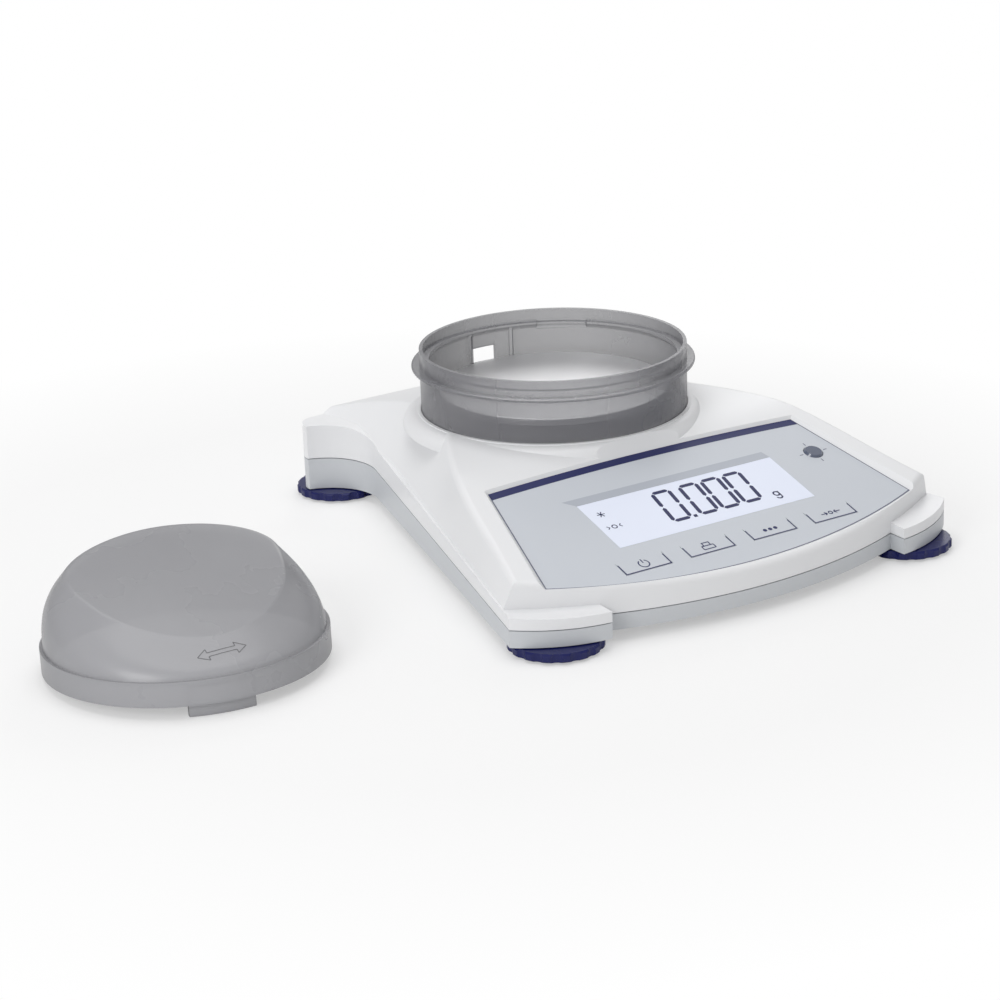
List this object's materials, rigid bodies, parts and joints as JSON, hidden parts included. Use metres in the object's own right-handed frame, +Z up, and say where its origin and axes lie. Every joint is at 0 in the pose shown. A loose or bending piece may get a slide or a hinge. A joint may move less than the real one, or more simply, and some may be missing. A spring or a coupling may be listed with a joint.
{
  "type": "precision balance",
  "caption": "Low portable laboratory balance with a sloping display panel, round pan inside a translucent draft shield ring, levelling feet and a domed lid lying beside it.",
  "frame": {"origin": "under the middle of the box round balance and lid, on the table", "axes": "+X from the lid to the balance's right side, +Z up, -Y towards the display panel's front edge"},
  "size_m": [0.344, 0.2344, 0.0708],
  "materials": {
    "white_cover": "satin white moulding",
    "grey_cover": "satin light grey moulding",
    "panel_grey": "smooth printed film",
    "clear_window": "clear window",
    "display_glass": "display module",
    "diffuser": "white diffuser",
    "circuit_board": "solder mask",
    "switch_black": "moulded black",
    "level_glass": "dark bubble level",
    "smoke_plastic": "frosted smoke-grey translucent moulding",
    "pan_steel": "brushed stainless",
    "zinc_steel": "plated steel",
    "cast_aluminium": "machined",
    "rubber_black": "moulded rubber",
    "battery_case": "wrapped cell",
    "indigo_plastic": "glossy indigo moulding",
    "insert_brass": "turned brass"
  },
  "bodies": {
    "housing": {"top_cover": "white_cover", "bottom_cover": "grey_cover", "panel_film": "panel_grey", "lcd_window": "clear_window", "lcd_module": "display_glass", "backlight": "diffuser", "display_board": "circuit_board", "main_board": "circuit_board", "key_switches": "switch_black", "power_jack": "switch_black", "level_holder": "switch_black", "level_vial": "level_glass", "cell_screws": "zinc_steel", "overload_stops": "zinc_steel", "board_screws": "zinc_steel", "housing_screws": "zinc_steel", "battery_contacts": "zinc_steel", "interface_port": "zinc_steel", "load_cell": "cast_aluminium", "cell_chassis": "cast_aluminium", "cell_spacer": "cast_aluminium", "pan_support": "cast_aluminium", "pan_bumpers": "rubber_black", "batteries": "battery_case", "foot_insert_front_left": "insert_brass", "foot_insert_front_right": "insert_brass", "foot_insert_rear_left": "insert_brass", "foot_insert_rear_right": "insert_brass"},
    "pan": {"weighing_pan": "pan_steel"},
    "shield": {"shield_ring": "smoke_plastic"},
    "lid": {"shield_lid": "smoke_plastic"},
    "door": {"battery_door": "grey_cover"},
    "key_zero": {"key_zero": "panel_grey"},
    "key_print": {"key_print": "panel_grey"},
    "key_function": {"key_function": "panel_grey"},
    "key_tare": {"key_tare": "panel_grey"},
    "foot_front_left": {"foot_pad_front_left": "rubber_black"},
    "wheel_front_left": {"foot_wheel_front_left": "indigo_plastic", "foot_stud_front_left": "zinc_steel"},
    "foot_front_right": {"foot_pad_front_right": "rubber_black"},
    "wheel_front_right": {"foot_wheel_front_right": "indigo_plastic", "foot_stud_front_right": "zinc_steel"},
    "foot_rear_left": {"foot_pad_rear_left": "rubber_black"},
    "wheel_rear_left": {"foot_wheel_rear_left": "indigo_plastic", "foot_stud_rear_left": "zinc_steel"},
    "foot_rear_right": {"foot_pad_rear_right": "rubber_black"},
    "wheel_rear_right": {"foot_wheel_rear_right": "indigo_plastic", "foot_stud_rear_right": "zinc_steel"}
  },
  "joints": [
    {"name": "pan_lift", "type": "slide", "parent": "housing", "child": "pan", "axis": [0, 0, 1], "range_m": [0, 0.06]},
    {"name": "shield_lift", "type": "slide", "parent": "housing", "child": "shield", "axis": [0, 0, 1], "range_m": [0, 0.05]},
    {"name": "lid_lift", "type": "slide", "parent": "housing", "child": "lid", "axis": [0, 0, 1], "range_m": [0, 0.08]},
    {"name": "door_drop", "type": "slide", "parent": "housing", "child": "door", "axis": [0, 0, -1], "range_m": [0, 0.02]},
    {"name": "key_zero_press", "type": "slide", "parent": "housing", "child": "key_zero", "axis": [0, 0.2961, -0.9552], "range_m": [0, 0.0004], "stiffness_N_per_m": 1500},
    {"name": "key_print_press", "type": "slide", "parent": "housing", "child": "key_print", "axis": [0, 0.2961, -0.9552], "range_m": [0, 0.0004], "stiffness_N_per_m": 1500},
    {"name": "key_function_press", "type": "slide", "parent": "housing", "child": "key_function", "axis": [0, 0.2961, -0.9552], "range_m": [0, 0.0004], "stiffness_N_per_m": 1500},
    {"name": "key_tare_press", "type": "slide", "parent": "housing", "child": "key_tare", "axis": [0, 0.2961, -0.9552], "range_m": [0, 0.0004], "stiffness_N_per_m": 1500},
    {"name": "foot_reach_front_left", "type": "slide", "parent": "housing", "child": "foot_front_left", "axis": [0, 0, -1], "range_m": [0, 0.003]},
    {"name": "foot_turn_front_left", "type": "hinge", "parent": "foot_front_left", "child": "wheel_front_left", "pos_m": [-0.01052, -0.0978, 0.0025], "axis": [0, 0, -1], "range_deg": [0, 720]},
    {"name": "foot_reach_front_right", "type": "slide", "parent": "housing", "child": "foot_front_right", "axis": [0, 0, -1], "range_m": [0, 0.003]},
    {"name": "foot_turn_front_right", "type": "hinge", "parent": "foot_front_right", "child": "wheel_front_right", "pos_m": [0.15247, -0.0978, 0.0025], "axis": [0, 0, -1], "range_deg": [0, 720]},
    {"name": "foot_reach_rear_left", "type": "slide", "parent": "housing", "child": "foot_rear_left", "axis": [0, 0, -1], "range_m": [0, 0.003]},
    {"name": "foot_turn_rear_left", "type": "hinge", "parent": "foot_rear_left", "child": "wheel_rear_left", "pos_m": [0.01607, 0.0996, 0.0025], "axis": [0, 0, -1], "range_deg": [0, 720]},
    {"name": "foot_reach_rear_right", "type": "slide", "parent": "housing", "child": "foot_rear_right", "axis": [0, 0, -1], "range_m": [0, 0.003]},
    {"name": "foot_turn_rear_right", "type": "hinge", "parent": "foot_rear_right", "child": "wheel_rear_right", "pos_m": [0.12587, 0.0996, 0.0025], "axis": [0, 0, -1], "range_deg": [0, 720]}
  ],
  "couplings": [
    {"joint": "foot_reach_front_left", "follows": "foot_turn_front_left", "m_per_rad": 0.0002387},
    {"joint": "foot_reach_front_right", "follows": "foot_turn_front_right", "m_per_rad": 0.0002387},
    {"joint": "foot_reach_rear_left", "follows": "foot_turn_rear_left", "m_per_rad": 0.0002387},
    {"joint": "foot_reach_rear_right", "follows": "foot_turn_rear_right", "m_per_rad": 0.0002387}
  ]
}
